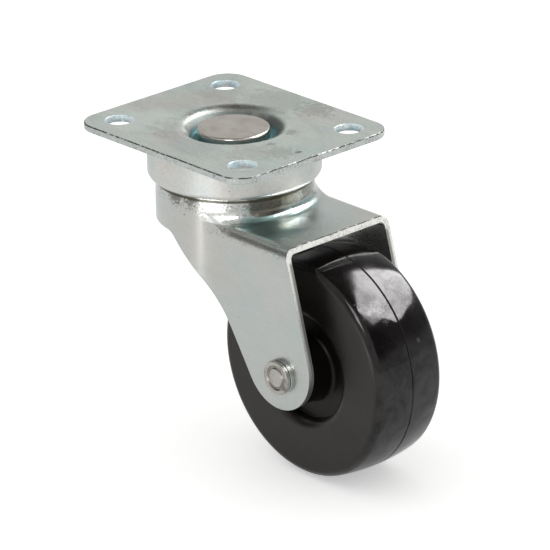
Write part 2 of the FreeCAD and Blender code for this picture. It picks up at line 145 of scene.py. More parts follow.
class Canvas:
    """Adds and joins the nodes of one node tree."""

    def __init__(self, tree: Tree) -> None:
        """Keep the tree that nodes go into."""
        self.tree = tree

    def feed(self, socket: Socket, source: Feed) -> None:
        """Link a socket to another, or give it a plain value.

        Args:
            socket: The input.
            source: An output socket, a number, a colour or a vector.
        """
        if isinstance(source, Socket):
            self.tree.links.new(source, socket)
        else:
            socket.default_value = source

    def add(self, kind: str, feeds: Optional[dict[Union[int, str], Feed]] = None,
            **settings: object) -> Node:
        """Add a node, set its properties and feed its inputs.

        Args:
            kind: The node's type name.
            feeds: Sources by the input's number or name.
            **settings: Properties of the node.

        Returns:
            The new node.
        """
        node = self.tree.nodes.new(kind)
        for name, value in settings.items():
            setattr(node, name, value)
        for key, source in (feeds or {}).items():
            self.feed(node.inputs[key], source)
        return node

    def calc(self, operation: str, first: Feed, *others: Feed) -> Socket:
        """Math nodes that take up their terms from the first to the last.

        Args:
            operation: The operation's name.
            first: The first term.
            *others: The other terms.

        Returns:
            The result's socket.
        """
        found = first
        for other in others or (0.0,):
            found = self.add("ShaderNodeMath", {0: found, 1: other}, operation=operation).outputs[0]
        return found

    def times(self, *terms: Feed) -> Socket:
        """The product of several terms."""
        return self.calc("MULTIPLY", *terms)

    def plus(self, *terms: Feed) -> Socket:
        """The sum of several terms."""
        return self.calc("ADD", *terms)

    def minus(self, *terms: Feed) -> Socket:
        """The first term less the others."""
        return self.calc("SUBTRACT", *terms)

    def highest(self, *terms: Feed) -> Socket:
        """The highest of several terms."""
        return self.calc("MAXIMUM", *terms)

    def off(self, value: Feed, middle: float = 0.0) -> Socket:
        """How far a value is from a middle one, either way."""
        return self.calc("ABSOLUTE", self.minus(value, middle))

    def vector(self, operation: str, first: Feed, second: Feed) -> Node:
        """A vector math node of two vectors."""
        return self.add("ShaderNodeVectorMath", {0: first, 1: second}, operation=operation)

    def step(self, value: Feed, low: float, high: float, start: Feed = 0.0,
             end: Feed = 1.0) -> Socket:
        """A smooth step between two limits.

        Args:
            value: What is compared.
            low: Where the step starts.
            high: Where the step ends.
            start: The result below the step.
            end: The result above the step.

        Returns:
            The result's socket.
        """
        feeds = dict(enumerate((value, low, high, start, end)))
        return self.add("ShaderNodeMapRange", feeds, interpolation_type="SMOOTHSTEP").outputs[0]

    def fade(self, value: Feed, low: float, high: float, start: float = 1.0) -> Socket:
        """A smooth step down to nothing."""
        return self.step(value, low, high, start, 0.0)

    def spread(self, noise: Feed, low: float, high: float) -> Socket:
        """Noise stretched over the range from a low value to a high one."""
        return self.step(noise, 0.3, 0.7, low, high)

    def mix(self, share: Feed, first: Feed, second: Feed) -> Socket:
        """A colour mix, of which the share is the second colour."""
        return self.add("ShaderNodeMix", {0: share, 6: first, 7: second}, data_type="RGBA").outputs[2]

    def blend(self, share: Feed, first: Feed, second: Feed) -> Socket:
        """A mix of two numbers, of which the share is the second one."""
        return self.add("ShaderNodeMix", {0: share, 2: first, 3: second}, data_type="FLOAT").outputs[0]

    def dimmed(self, colour: Feed, share: Feed) -> Socket:
        """A colour with its brightness scaled."""
        return self.add("ShaderNodeVectorMath", {0: colour, "Scale": share}, operation="SCALE").outputs[0]

    def noise(self, place: Feed, scale: Feed, detail: float = 2.0, roughness: float = 0.5,
              distortion: float = 0.0) -> Socket:
        """Noise at a place.

        Args:
            place: Object coordinates.
            scale: Waves for each metre.
            detail: Octaves of finer noise.
            roughness: The share of each finer octave.
            distortion: How much the noise is warped.

        Returns:
            The noise's value socket.
        """
        feeds = {"Vector": place, "Scale": scale, "Detail": detail, "Roughness": roughness,
                 "Distortion": distortion}
        return self.add("ShaderNodeTexNoise", feeds).outputs[0]

    def stretched(self, place: Feed, along: float, turn: float) -> Socket:
        """Coordinates that are turned about Z and drawn out along X.

        Args:
            place: Object coordinates.
            along: How far they are drawn out.
            turn: The turn in degrees.

        Returns:
            The new coordinates' socket.
        """
        feeds = {"Vector": place, "Rotation": (0.0, 0.0, math.radians(turn)), "Scale": (along, 1.0, 1.0)}
        return self.add("ShaderNodeMapping", feeds, vector_type="TEXTURE").outputs[0]

    def parts(self, place: Feed) -> Sequence[Socket]:
        """The three parts of a vector or a colour."""
        return self.add("ShaderNodeSeparateXYZ", {0: place}).outputs

    def group(self, tree: Tree, **inputs: Feed) -> Node:
        """Place a node group and feed its inputs.

        Args:
            tree: The group.
            **inputs: Values by the names of the inputs.

        Returns:
            The group's node.
        """
        node = self.add("ShaderNodeGroup", node_tree=tree)
        for name, source in inputs.items():
            self.feed(node.inputs[name], source)
        return node


class Groups:
    """The node groups that several finishes share."""

    def __init__(self) -> None:
        """Build each group once."""
        self.mottle = self.make_mottle()
        self.specks = self.make_specks()
        self.scratches = self.make_scratches()
        self.patch = self.make_patch()

    @staticmethod
    def start(name: str, inputs: Sequence[str],
              outputs: Sequence[str]) -> tuple[Canvas, Sequence[Socket], Node]:
        """Make an empty group.

        Args:
            name: The group's name.
            inputs: The inputs' names.
            outputs: The outputs' names.

        Returns:
            The group's canvas, the sockets that its inputs come in by and its output node.
        """
        tree = bpy.data.node_groups.new(name, "ShaderNodeTree")
        for way, labels in (("INPUT", inputs), ("OUTPUT", outputs)):
            for label in labels:
                tree.interface.new_socket(name=label, in_out=way,
                                          socket_type=SOCKET_KINDS.get(label, "NodeSocketFloat"))
        canvas = Canvas(tree)
        return canvas, canvas.add("NodeGroupInput").outputs, canvas.add("NodeGroupOutput")

    def make_mottle(self) -> Tree:
        """Cloudy tints of plated or bare metal, with streaks along the rolling direction.

        Returns:
            A group with the outputs Color, Cloud and Height.
        """
        canvas, entry, leave = self.start(
            "metal_mottle", ("Vector", "Scale", "Base", "Cool", "Warm", "Streak"),
            ("Color", "Cloud", "Height"))
        place, scale, lined = entry["Vector"], entry["Scale"], entry["Streak"]
        broad = canvas.noise(place, scale, detail=3.0, roughness=0.6, distortion=0.4)
        shifted = canvas.vector("ADD", place, Vector((0.31, 0.17, 0.53))).outputs[0]
        other = canvas.noise(shifted, scale, detail=2.0, roughness=0.5)
        rolled = canvas.stretched(place, 9.0, 8.0)
        streak = canvas.noise(rolled, canvas.times(scale, 9.0), detail=3.0, roughness=0.7)
        cooled = canvas.mix(canvas.step(broad, 0.42, 0.68), entry["Base"], entry["Cool"])
        warmed = canvas.mix(canvas.step(other, 0.46, 0.70), cooled, entry["Warm"])
        shade = canvas.blend(lined, 1.0, canvas.step(streak, 0.25, 0.75, start=0.86, end=1.10))
        fine = canvas.noise(place, canvas.times(scale, 40.0), detail=2.0, roughness=0.6)
        canvas.feed(leave.inputs["Color"], canvas.dimmed(warmed, shade))
        canvas.feed(leave.inputs["Cloud"], canvas.plus(canvas.times(broad, 0.6), canvas.times(streak, 0.4)))
        canvas.feed(leave.inputs["Height"], canvas.plus(canvas.times(streak, lined), fine))
        return canvas.tree

    def make_specks(self) -> Tree:
        """Small scattered spots, such as pits and dust.

        Returns:
            A group with the output Mask.
        """
        canvas, entry, leave = self.start("scattered_specks", ("Vector", "Scale", "Share"), ("Mask",))
        cells = canvas.add("ShaderNodeTexVoronoi", {"Vector": entry["Vector"], "Scale": entry["Scale"]},
                           feature="F1").outputs
        chance = canvas.parts(cells["Color"])
        picked = canvas.calc("LESS_THAN", chance[0], entry["Share"])
        size = canvas.times(chance[1], 0.16)
        inside = canvas.fade(canvas.minus(cells["Distance"], size), 0.0, 0.09)
        canvas.feed(leave.inputs["Mask"], canvas.times(picked, inside))
        return canvas.tree

    def make_scratches(self) -> Tree:
        """Short fine scratches in two directions.

        Returns:
            A group with the output Mask.
        """
        canvas, entry, leave = self.start("fine_scratches", ("Vector", "Scale", "Share"), ("Mask",))
        place, scale = entry["Vector"], entry["Scale"]
        found: Feed = 0.0
        for turn in (17.0, -48.0):
            thread = canvas.noise(canvas.stretched(place, 14.0, turn), scale, detail=1.0, roughness=0.4)
            thin = canvas.fade(canvas.off(thread, 0.5), 0.0, 0.012)
            broken = canvas.noise(place, canvas.times(scale, 0.25), detail=1.0, roughness=0.5)
            kept = canvas.calc("GREATER_THAN", broken, canvas.minus(1.0, entry["Share"]))
            found = canvas.highest(found, canvas.times(thin, kept))
        canvas.feed(leave.inputs["Mask"], found)
        return canvas.tree

    def make_patch(self) -> Tree:
        """One ragged patch about a point.

        Returns:
            A group with the output Mask.
        """
        canvas, entry, leave = self.start(
            "ragged_patch", ("Vector", "Centre", "Radius", "Ragged", "Scale"), ("Mask",))
        apart = canvas.vector("DISTANCE", entry["Vector"], entry["Centre"]).outputs["Value"]
        reach = canvas.calc("DIVIDE", apart, entry["Radius"])
        torn = canvas.noise(entry["Vector"], entry["Scale"], detail=4.0, roughness=0.65)
        edge = canvas.plus(reach, canvas.times(canvas.minus(torn, 0.5), entry["Ragged"]))
        canvas.feed(leave.inputs["Mask"], canvas.fade(edge, 0.55, 1.0))
        return canvas.tree


class Surface(Canvas):
    """The node tree of a new material with a Principled shader and Object coordinates."""

    def __init__(self, name: str, groups: Optional[Groups] = None) -> None:
        """Make the material.

        Args:
            name: The material's name.
            groups: The shared node groups, where the material uses them.
        """
        self.material = bpy.data.materials.new(name)
        self.material.use_nodes = True
        super().__init__(self.material.node_tree)
        self.groups = groups
        self.shader = self.tree.nodes["Principled BSDF"]
        self.place = self.add("ShaderNodeTexCoord").outputs["Object"]

    def spans(self) -> Sequence[Socket]:
        """The X, Y and Z of the place in millimetres."""
        return self.parts(self.vector("MULTIPLY", self.place, Vector((1.0, 1.0, 1.0)) / MM).outputs[0])

    def away(self, about: Turning, centre: Sequence[float] = (0.0, 0.0, 0.0)) -> Socket:
        """The distance from an axis, in millimetres.

        Args:
            about: The axis.
            centre: Any point on it, in millimetres.

        Returns:
            The distance's socket.
        """
        flat = self.vector("MULTIPLY", self.place, Vector(about.value) / MM).outputs[0]
        middle = Vector([share * value for share, value in zip(about.value, centre)])
        return self.vector("DISTANCE", flat, middle).outputs["Value"]

    def cloud(self, scale: float, detail: float = 2.0, roughness: float = 0.5,
              distortion: float = 0.0) -> Socket:
        """Noise over the surface, with the settings of the canvas's noise."""
        return self.noise(self.place, scale, detail, roughness, distortion)

    def pattern(self, tree: Tree, **inputs: Feed) -> Sequence[Socket]:
        """The outputs of a shared group that is laid over the surface."""
        return self.group(tree, Vector=self.place, **inputs).outputs

    def coat(self, **sources: Feed) -> None:
        """Feed the shader's inputs, by their names with _ for a space."""
        for name, source in sources.items():
            self.feed(self.shader.inputs[name.replace("_", " ")], source)

    def bump(self, height: Feed, strength: float, depth: float) -> None:
        """Feed the shader's normal from a height.

        Args:
            height: The height, from zero to one.
            strength: How strongly it shows.
            depth: The depth of a height of one, in millimetres.
        """
        feeds = {"Strength": strength, "Distance": depth * MM, "Height": height}
        self.coat(Normal=self.add("ShaderNodeBump", feeds).outputs[0])


@dataclass(frozen=True)
class TintSpot:
    """A ragged spot of colour on a surface, used both for stains and tints and for painted highlights,
    reflections and shade, by its place and size in millimetres.
    """

    place: tuple[float, float, float]
    radius: float
    ragged: float
    colour: Colour
    share: float
    levels: tuple[float, float] = (-100.0, 100.0)
    scale: float = 300.0
    fade_below: float = 0.05
    fade_above: float = 0.6

    def mask(self, skin: Surface) -> Socket:
        """How much of the spot shows.

        Args:
            skin: The material in the making.

        Returns:
            The mask's socket.
        """
        patch = skin.pattern(skin.groups.patch, Centre=Vector(self.place) * MM, Radius=self.radius * MM,
                             Ragged=self.ragged, Scale=self.scale)
        height = skin.spans()[2]
        low, high = self.levels
        above = skin.step(height, low - self.fade_below, low)
        below = skin.fade(height, high, high + self.fade_above, self.share)
        return skin.times(patch[0], above, below)


@dataclass(frozen=True)
class PolishZone:
    """The drawn bowl's wall and the shelf beside it, which the press tool left smooth."""

    wall_low: float
    wall_high: float
    shelf_level: float
    shelf_starts: float
    shelf_half: float
    fade_from: float
    fade_to: float
    fold_low: float
    roughness: float
    stipple: float = 0.85
    sheet_blend: tuple[float, float] = (0.12, 0.06)
    front_blend: float = 2.0
    side_blend: float = 3.0
    leg_blend: float = 0.8
    fold_blend: tuple[float, float] = (0.5, 0.2)

    def areas(self, skin: Surface) -> Sequence[Socket]:
        """The smooth areas one by one.

        Args:
            skin: The material in the making.

        Returns:
            The masks of the bowl's wall, of the shelf beside it and of the fold.
        """
        x, y, z = skin.spans()
        wall = skin.step(z, self.wall_low, self.wall_high)
        top = skin.step(z, *(self.shelf_level - blend for blend in self.sheet_blend))
        ahead = skin.step(x, self.shelf_starts - self.front_blend, self.shelf_starts + self.front_blend)
        inside = skin.fade(skin.off(y), self.shelf_half - self.side_blend, self.shelf_half)
        near = skin.fade(skin.away(Turning.KINGPIN), self.fade_from, self.fade_to)
        above_leg = skin.step(z, self.fold_low, self.fold_low + self.leg_blend)
        below_shelf = skin.fade(z, *(self.shelf_level - blend for blend in self.fold_blend))
        return wall, skin.times(top, ahead, inside, near), skin.times(above_leg, below_shelf, ahead)

    def mask(self, skin: Surface) -> Socket:
        """Where the sheet is smooth."""
        return skin.highest(*self.areas(skin))

    def grit(self, skin: Surface) -> Socket:
        """The fine dark grain that drawing opens in the plating.

        Args:
            skin: The material in the making.

        Returns:
            The mask's socket.
        """
        wall, _, fold = self.areas(skin)
        fine = skin.step(skin.cloud(2400.0, detail=3.0, roughness=0.7), 0.50, 0.62)
        patchy = skin.step(skin.cloud(240.0, detail=3.0, roughness=0.6), 0.38, 0.62, start=0.25)
        return skin.times(skin.highest(wall, fold), fine, patchy, self.stipple)


@dataclass(frozen=True)
class DishZone:
    """The pressed dish, whose drawn skin is rougher than the flat sheet round it and whose darker tone is
    painted shade in the recess.
    """

    radius: float
    starts: float
    full: float
    roughness: float
    tone: Colour

    def mask(self, skin: Surface) -> Socket:
        """Where the sheet is drawn down.

        Args:
            skin: The material in the making.

        Returns:
            The mask's socket.
        """
        inside = skin.fade(skin.away(Turning.KINGPIN), self.radius, self.radius + 0.5)
        return skin.times(inside, skin.fade(skin.spans()[2], self.full, self.starts))


@dataclass(frozen=True)
class PaintedShadeLine:
    """A thin dark line of painted shade under an overhanging part or in a narrow gap, by its level and half
    its height in millimetres.
    """

    level: float
    half_height: float
    colour: Colour

    def mask(self, skin: Surface) -> Socket:
        """How much of the line shows.

        Args:
            skin: The material in the making.

        Returns:
            The mask's socket.
        """
        wave = skin.minus(skin.cloud(160.0, detail=3.0, roughness=0.6), 0.5)
        wavy = skin.plus(skin.spans()[2], skin.times(wave, 0.4))
        return skin.fade(skin.off(wavy, self.level), self.half_height * 0.4, self.half_height, start=0.9)


@dataclass(frozen=True)
class Finish:
    """A finish of the caster's, whose nodes each kind of finish joins in its own way."""

    name: str

    def paint(self, skin: Surface) -> None:
        """Join the nodes of the finish.

        Args:
            skin: The material in the making.
        """
        raise NotImplementedError

    def build(self, groups: Groups) -> Material:
        """Make the material.

        Args:
            groups: The shared node groups.

        Returns:
            The material.
        """
        skin = Surface(self.name, groups)
        self.paint(skin)
        return skin.material


@dataclass(frozen=True)
class ZincFinish(Finish):
    """Zinc plating on sheet steel, satin and faintly clouded."""

    base: Colour
    cool: Colour
    warm: Colour
    dark: Colour
    roughness: float
    spread: float
    cloud_scale: float
    streak: float
    speck_scale: float
    speck_share: float
    smudge: float = 0.10
    grain: float = 0.03
    spots: tuple[TintSpot, ...] = ()
    polish: Optional[Union[PolishZone, DishZone]] = None
    peel: float = 28.0
    metallic: float = 1.0
    oil_and_painted_shade: Optional[PaintedShadeLine] = None
    scratch_scale: float = 1500.0
    scratch_share: float = 0.36
    scratch_gloss: float = 0.10
    scratch_depth: float = 0.6
    speck_shade: float = 0.75

    def paint(self, skin: Surface) -> None:
        """Join the nodes of the finish.

        Args:
            skin: The material in the making.
        """
        mottle = skin.pattern(skin.groups.mottle, Scale=self.cloud_scale, Base=self.base, Cool=self.cool,
                              Warm=self.warm, Streak=self.streak)
        specks = skin.pattern(skin.groups.specks, Scale=self.speck_scale, Share=self.speck_share)[0]
        scratches = skin.pattern(skin.groups.scratches, Scale=self.scratch_scale,
                                 Share=self.scratch_share)[0]
        zone = self.polish.mask(skin) if self.polish else None
        colour = self.tinted(skin, mottle["Color"], zone)
        colour = skin.mix(skin.times(specks, self.speck_shade), colour, self.dark)
        # Painted shade: a thin dark line where one part overhangs or meets another.
        if self.oil_and_painted_shade:
            colour = skin.mix(self.oil_and_painted_shade.mask(skin), colour, self.oil_and_painted_shade.colour)
        clouds = skin.spread(mottle["Cloud"], self.roughness - self.spread, self.roughness + self.spread)
        worn = skin.minus(clouds, skin.times(scratches, self.scratch_gloss))
        marks = skin.plus(specks, skin.times(scratches, self.scratch_depth))
        height = skin.minus(mottle["Height"], marks)
        if zone is not None:
            worn = skin.blend(zone, worn, self.polish.roughness)
            peel = skin.times(skin.cloud(2400.0, detail=3.0, roughness=0.6), zone, self.peel)
            height = skin.plus(height, peel)
        skin.coat(Base_Color=colour, Roughness=worn, Metallic=self.metallic)
        skin.bump(height, strength=0.35, depth=0.006)

    def tinted(self, skin: Surface, plain: Feed, zone: Optional[Feed]) -> Feed:
        """The plating's colour with its smudges, grain and stains, and with its painted shade, highlights
        and reflections.

        Args:
            skin: The material in the making.
            plain: The clouded colour.
            zone: Where the sheet is drawn, if it is.

        Returns:
            The colour.
        """
        smear = skin.noise(skin.stretched(skin.place, 1.6, -24.0), self.cloud_scale * 0.8,
                           detail=7.0, roughness=0.68, distortion=0.9)
        grain = skin.spread(skin.cloud(1900.0, roughness=0.6), 1.0 - self.grain, 1.0 + self.grain)
        smudged = skin.step(smear, 0.44, 0.70, start=1.0, end=1.0 - self.smudge)
        colour = skin.dimmed(plain, skin.times(smudged, grain))
        # Painted shade: the dish takes a darker tone.
        if isinstance(self.polish, DishZone):
            colour = skin.mix(zone, colour, self.polish.tone)
        # Stains and tints, and spots of painted highlight, reflection and shade.
        for spot in self.spots:
            colour = skin.mix(spot.mask(skin), colour, spot.colour)
        if isinstance(self.polish, PolishZone):
            colour = skin.mix(self.polish.grit(skin), colour, self.dark)
        return colour


@dataclass(frozen=True)
class LegEdge:
    """Where the cut edge of the legs is torn, and where it grows darker towards the bottom."""

    starts: float
    torn: float
    burnished: float
    darkens_from: float
    darkest_below: float
    torn_shade: float = 0.70
    bottom_darkness: float = 0.85

    def mask(self, skin: Surface) -> Socket:
        """How dark the edge is.

        Args:
            skin: The material in the making.

        Returns:
            The mask's socket.
        """
        _, y, z = skin.spans()
        inner = skin.fade(skin.off(y), self.torn, self.burnished, self.torn_shade)
        on_leg = skin.fade(z, self.starts - 1.0, self.starts)
        darker_low = skin.fade(z, self.darkest_below, self.darkens_from, self.bottom_darkness)
        return skin.highest(skin.times(inner, on_leg), darker_low)


@dataclass(frozen=True)
class ShearedEdgeFinish(Finish):
    """The cut edge of a sheet: a bright burnished band and a dark grainy break."""

    bright: Colour
    dark: Colour
    roughness: float
    line_level: float
    leg: Optional[LegEdge] = None

    def paint(self, skin: Surface) -> None:
        """Join the nodes of the finish.

        Args:
            skin: The material in the making.
        """
        grain = skin.cloud(2600.0, detail=3.0, roughness=0.7)
        tear = skin.cloud(420.0, detail=4.0, roughness=0.65)
        specks = skin.pattern(skin.groups.specks, Scale=1900.0, Share=0.3)[0]
        torn = skin.times(skin.step(grain, 0.44, 0.60), skin.step(tear, 0.42, 0.66, start=0.08, end=0.5))
        mask = skin.highest(torn, skin.times(specks, 0.4), self.line_mask(skin))
        if self.leg:
            mask = skin.highest(mask, self.leg.mask(skin))
        skin.coat(Base_Color=skin.mix(mask, self.bright, self.dark), Metallic=0.7,
                  Roughness=skin.spread(grain, self.roughness - 0.08, self.roughness + 0.15))
        skin.bump(skin.minus(grain, mask), strength=0.4, depth=0.012)

    def line_mask(self, skin: Surface) -> Socket:
        """Broken dark marks along the upper edge, where the punch entered the sheet.

        Args:
            skin: The material in the making.

        Returns:
            The mask's socket.
        """
        wave = skin.cloud(170.0, detail=3.0, roughness=0.7)
        lifted = skin.plus(skin.spans()[2], skin.times(wave, 0.26))
        thin = skin.fade(skin.off(lifted, self.line_level), 0.06, 0.18)
        return skin.times(thin, skin.step(skin.cloud(800.0, detail=4.0, roughness=0.7), 0.34, 0.52))


@dataclass(frozen=True)
class RivetFinish(Finish):
    """Bare rivet steel with a worn satin face and polished sides."""

    face: Colour
    side: Colour
    stain: Colour
    tint: Colour
    face_roughness: float
    side_roughness: float
    about: Turning
    face_at: float
    middle: Sequence[float] = (0.0, 0.0, 0.0)
    ring: Optional[tuple[float, float]] = None
    face_blend: float = 0.06

    def paint(self, skin: Surface) -> None:
        """Join the nodes of the finish.

        Args:
            skin: The material in the making.
        """
        _, y, z = skin.spans()
        low, high = self.face_at - self.face_blend, self.face_at + self.face_blend
        on_face = skin.fade(y, low, high) if self.about is Turning.AXLE else skin.step(z, low, high)
        mottle = skin.pattern(skin.groups.mottle, Scale=260.0, Base=self.face, Cool=self.tint,
                              Warm=self.stain, Streak=0.5)
        scratches = skin.pattern(skin.groups.scratches, Scale=2600.0, Share=0.5)[0]
        colour = skin.mix(on_face, self.side, mottle["Color"])
        if self.ring:
            colour = skin.mix(skin.times(self.ring_mask(skin), on_face), colour, self.stain)
        rough = skin.spread(mottle["Cloud"], self.face_roughness - 0.06, self.face_roughness + 0.06)
        skin.coat(Base_Color=colour, Metallic=1.0,
                  Roughness=skin.blend(on_face, self.side_roughness, rough))
        skin.bump(skin.minus(mottle["Height"], scratches), strength=0.3, depth=0.004)

    def ring_mask(self, skin: Surface) -> Socket:
        """Darker colour in the pressed ring of the end face.

        Args:
            skin: The material in the making.

        Returns:
            The mask's socket.
        """
        inner, outer = self.ring
        half = (outer - inner) / 2
        off = skin.off(skin.away(self.about, self.middle), (inner + outer) / 2)
        patchy = skin.step(skin.cloud(900.0, detail=3.0), 0.25, 0.6, start=0.5)
        return skin.times(skin.fade(off, half * 0.35, half, start=0.85), patchy)


@dataclass(frozen=True)
class OiledSteelFinish(Finish):
    """Pressed or ground steel inside the bearing, under a film of oil."""

    base: Colour
    oil_and_painted_shade: Colour
    roughness: float
    scale: float

    def paint(self, skin: Surface) -> None:
        """Join the nodes of the finish.

        Args:
            skin: The material in the making.
        """
        mottle = skin.pattern(skin.groups.mottle, Scale=self.scale, Base=self.base, Cool=self.base,
                              Warm=self.oil_and_painted_shade, Streak=0.3)
        scratches = skin.pattern(skin.groups.scratches, Scale=2200.0, Share=0.45)[0]
        rough = skin.spread(mottle["Cloud"], self.roughness * 0.7, self.roughness * 1.4)
        skin.coat(Base_Color=mottle["Color"], Roughness=rough, Metallic=1.0)
        skin.bump(skin.minus(mottle["Height"], scratches), strength=0.2, depth=0.004)


@dataclass(frozen=True)
class TreadMark:
    """A worn place on the tread, by its angle up from +X, its place across and its size."""

    angle: float
    across: float
    radius: float
    ragged: float

    def centre(self, axle: Vector, wheel_radius: float) -> Vector:
        """The mark's place.

        Args:
            axle: The wheel's centre in millimetres.
            wheel_radius: The tread's radius in millimetres.

        Returns:
            The place in metres.
        """
        turn = math.radians(self.angle)
        out = Vector((math.cos(turn) * wheel_radius, self.across, math.sin(turn) * wheel_radius))
        return (axle + out) * MM


@dataclass(frozen=True)
class RubberFinish(Finish):
    """Moulded black rubber: a glossy scuffed tread and duller sides."""

    axle: Vector
    wheel_radius: float
    tread: Colour
    side: Colour
    scuff: Colour
    tread_roughness: float
    side_roughness: float
    side_starts: float
    marks: tuple[TreadMark, ...]
    nicks: tuple[TreadMark, ...]
    dish_radius: float
    tread_sheen: Colour = (1.0, 0.975, 0.985, 1.0)
    side_sheen: Colour = (1.0, 0.965, 0.90, 1.0)
    vein_shade: float = 0.20
    haze_shade: float = 0.05
    dust_shade: float = 0.03
    nick_shade: float = 0.12
    cloud_shade: float = 0.008
    worn_roughness: float = 0.12

    def paint(self, skin: Surface) -> None:
        """Join the nodes of the finish.

        Args:
            skin: The material in the making.
        """
        away = skin.away(Turning.AXLE, self.axle)
        past_edge = skin.step(skin.off(skin.spans()[1]), self.side_starts - 0.5, self.side_starts + 0.2)
        in_dish = skin.fade(away, self.wheel_radius - 2.4, self.wheel_radius - 1.8)
        on_side = skin.highest(past_edge, in_dish)
        worn = self.patches(skin, self.marks)
        nicked = self.patches(skin, self.nicks)
        light = self.light_marks(skin, worn, nicked)
        cloud = skin.cloud(90.0, detail=3.0, roughness=0.55, distortion=0.3)
        colour = skin.mix(on_side, self.tread, self.side)
        colour = skin.mix(skin.times(cloud, self.cloud_shade), colour, self.scuff)
        tread_rough = skin.spread(cloud, self.tread_roughness - 0.04, self.tread_roughness + 0.05)
        tread_rough = skin.plus(tread_rough, skin.times(worn, self.worn_roughness))
        side_rough = skin.spread(cloud, self.side_roughness - 0.05, self.side_roughness + 0.08)
        matte = skin.step(away, self.dish_radius - 0.6, self.dish_radius + 1.2, start=0.2, end=0.44)
        smear = skin.cloud(190.0, detail=5.0, roughness=0.68, distortion=0.6)
        least, most = skin.blend(on_side, 0.66, 0.93), skin.blend(on_side, 1.16, 0.95)
        skin.coat(Base_Color=skin.mix(light, colour, self.scuff),
                  Roughness=skin.blend(on_side, tread_rough, side_rough),
                  Specular_IOR_Level=skin.times(matte, skin.step(smear, 0.34, 0.62, least, most)),
                  Specular_Tint=skin.mix(on_side, self.tread_sheen, self.side_sheen))
        ripple = skin.plus(skin.times(skin.cloud(150.0), 2.2), skin.times(skin.cloud(1900.0), 0.10))
        dents = skin.plus(skin.times(light, 0.5), nicked)
        skin.bump(skin.minus(ripple, dents), strength=0.5, depth=0.04)

    def light_marks(self, skin: Surface, worn: Feed, nicked: Feed) -> Feed:
        """The veins and haze of worn places, dust, hair scratches and nicks.

        Args:
            skin: The material in the making.
            worn: Where the tread is worn.
            nicked: Where it is nicked.

        Returns:
            The mask.
        """
        veins = skin.cloud(420.0, detail=5.0, roughness=0.7, distortion=1.2)
        veins = skin.fade(skin.off(veins, 0.5), 0.0, 0.035)
        haze = skin.step(skin.cloud(700.0, detail=5.0, roughness=0.7), 0.40, 0.66)
        specks = skin.pattern(skin.groups.specks, Scale=900.0, Share=0.05)[0]
        scratches = skin.pattern(skin.groups.scratches, Scale=1300.0, Share=0.42)[0]
        wear = skin.plus(skin.times(veins, self.vein_shade), skin.times(haze, self.haze_shade))
        dust = skin.times(skin.plus(specks, scratches), self.dust_shade)
        return skin.highest(skin.times(worn, wear), dust, skin.times(nicked, self.nick_shade))

    def patches(self, skin: Surface, marks: Sequence[TreadMark]) -> Feed:
        """The union of several ragged patches.

        Args:
            skin: The material in the making.
            marks: The patches.

        Returns:
            The mask.
        """
        found: Feed = 0.0
        for mark in marks:
            centre = mark.centre(self.axle, self.wheel_radius)
            patch = skin.pattern(skin.groups.patch, Centre=centre, Radius=mark.radius * MM,
                                 Ragged=mark.ragged, Scale=900.0)
            found = skin.highest(found, patch[0])
        return found


@dataclass(frozen=True)
class Corner:
    """A corner of a turned piece's half section: radius, place along the axis and rounding."""

    radius: float
    place: float
    rounding: float = 0.0


class Lathe:
    """Turns half sections into round pieces."""

    def __init__(self, axle: Vector) -> None:
        """Keep the wheel's centre, in millimetres."""
        self.axle = axle

    def turn(self, name: str, corners: Sequence[Corner], closed: bool, about: Turning, steps: int,
             round_steps: int = 5) -> bpy.types.Object:
        """Round the corners of a half section and spin it.

        Args:
            name: The piece's name.
            corners: The half section, in order.
            closed: Whether the section closes on itself, as a ring's does.
            about: The axis that it is turned about.
            steps: Segments round the piece.
            round_steps: Segments of each rounding.

        Returns:
            The finished object, with its place in its mesh.
        """
        shape = bmesh.new()
        spots = [shape.verts.new((corner.radius * MM, 0.0, corner.place * MM)) for corner in corners]
        for start, end in zip(spots, spots[1:]):
            shape.edges.new((start, end))
        if closed:
            shape.edges.new((spots[-1], spots[0]))
        for corner, spot in zip(corners, spots):
            if corner.rounding > 0.0:
                self.round_off(shape, spot, corner.rounding * MM, round_steps)
        bmesh.ops.spin(shape, geom=shape.verts[:] + shape.edges[:], cent=(0.0, 0.0, 0.0),
                       axis=(0.0, 0.0, 1.0), dvec=(0.0, 0.0, 0.0), angle=math.tau, steps=steps,
                       use_merge=True, use_normal_flip=False, use_duplicate=False)
        bmesh.ops.remove_doubles(shape, verts=shape.verts[:], dist=WELD)
        bmesh.ops.recalc_face_normals(shape, faces=shape.faces[:])
        if about is Turning.AXLE:
            lay = Matrix.Translation(self.axle * MM) @ Matrix.Rotation(math.radians(-90), 4, "X")
            bmesh.ops.transform(shape, matrix=lay, verts=shape.verts[:])
        return finished(name, shape)

    @staticmethod
    def round_off(shape: bmesh.types.BMesh, spot: bmesh.types.BMVert, radius: float,
                  steps: int) -> None:
        """Round one corner of a wire.

        Args:
            shape: The mesh that holds the wire.
            spot: The corner.
            radius: The rounding's radius in metres.
            steps: Segments of the rounding.
        """
        ways = [(edge.other_vert(spot).co - spot.co).normalized() for edge in spot.link_edges]
        half_angle = ways[0].angle(ways[1]) / 2
        bmesh.ops.bevel(shape, geom=[spot], offset=radius / math.tan(half_angle), offset_type="OFFSET",
                        segments=steps, profile=0.5, affect="VERTICES", material=-1)


def placed(name: str, data: bpy.types.ID) -> bpy.types.Object:
    """Put a new object into the scene.

    Args:
        name: The object's name.
        data: Its mesh, lamp or camera.

    Returns:
        The object, at the origin.
    """
    thing = bpy.data.objects.new(name, data)
    bpy.context.scene.collection.objects.link(thing)
    return thing


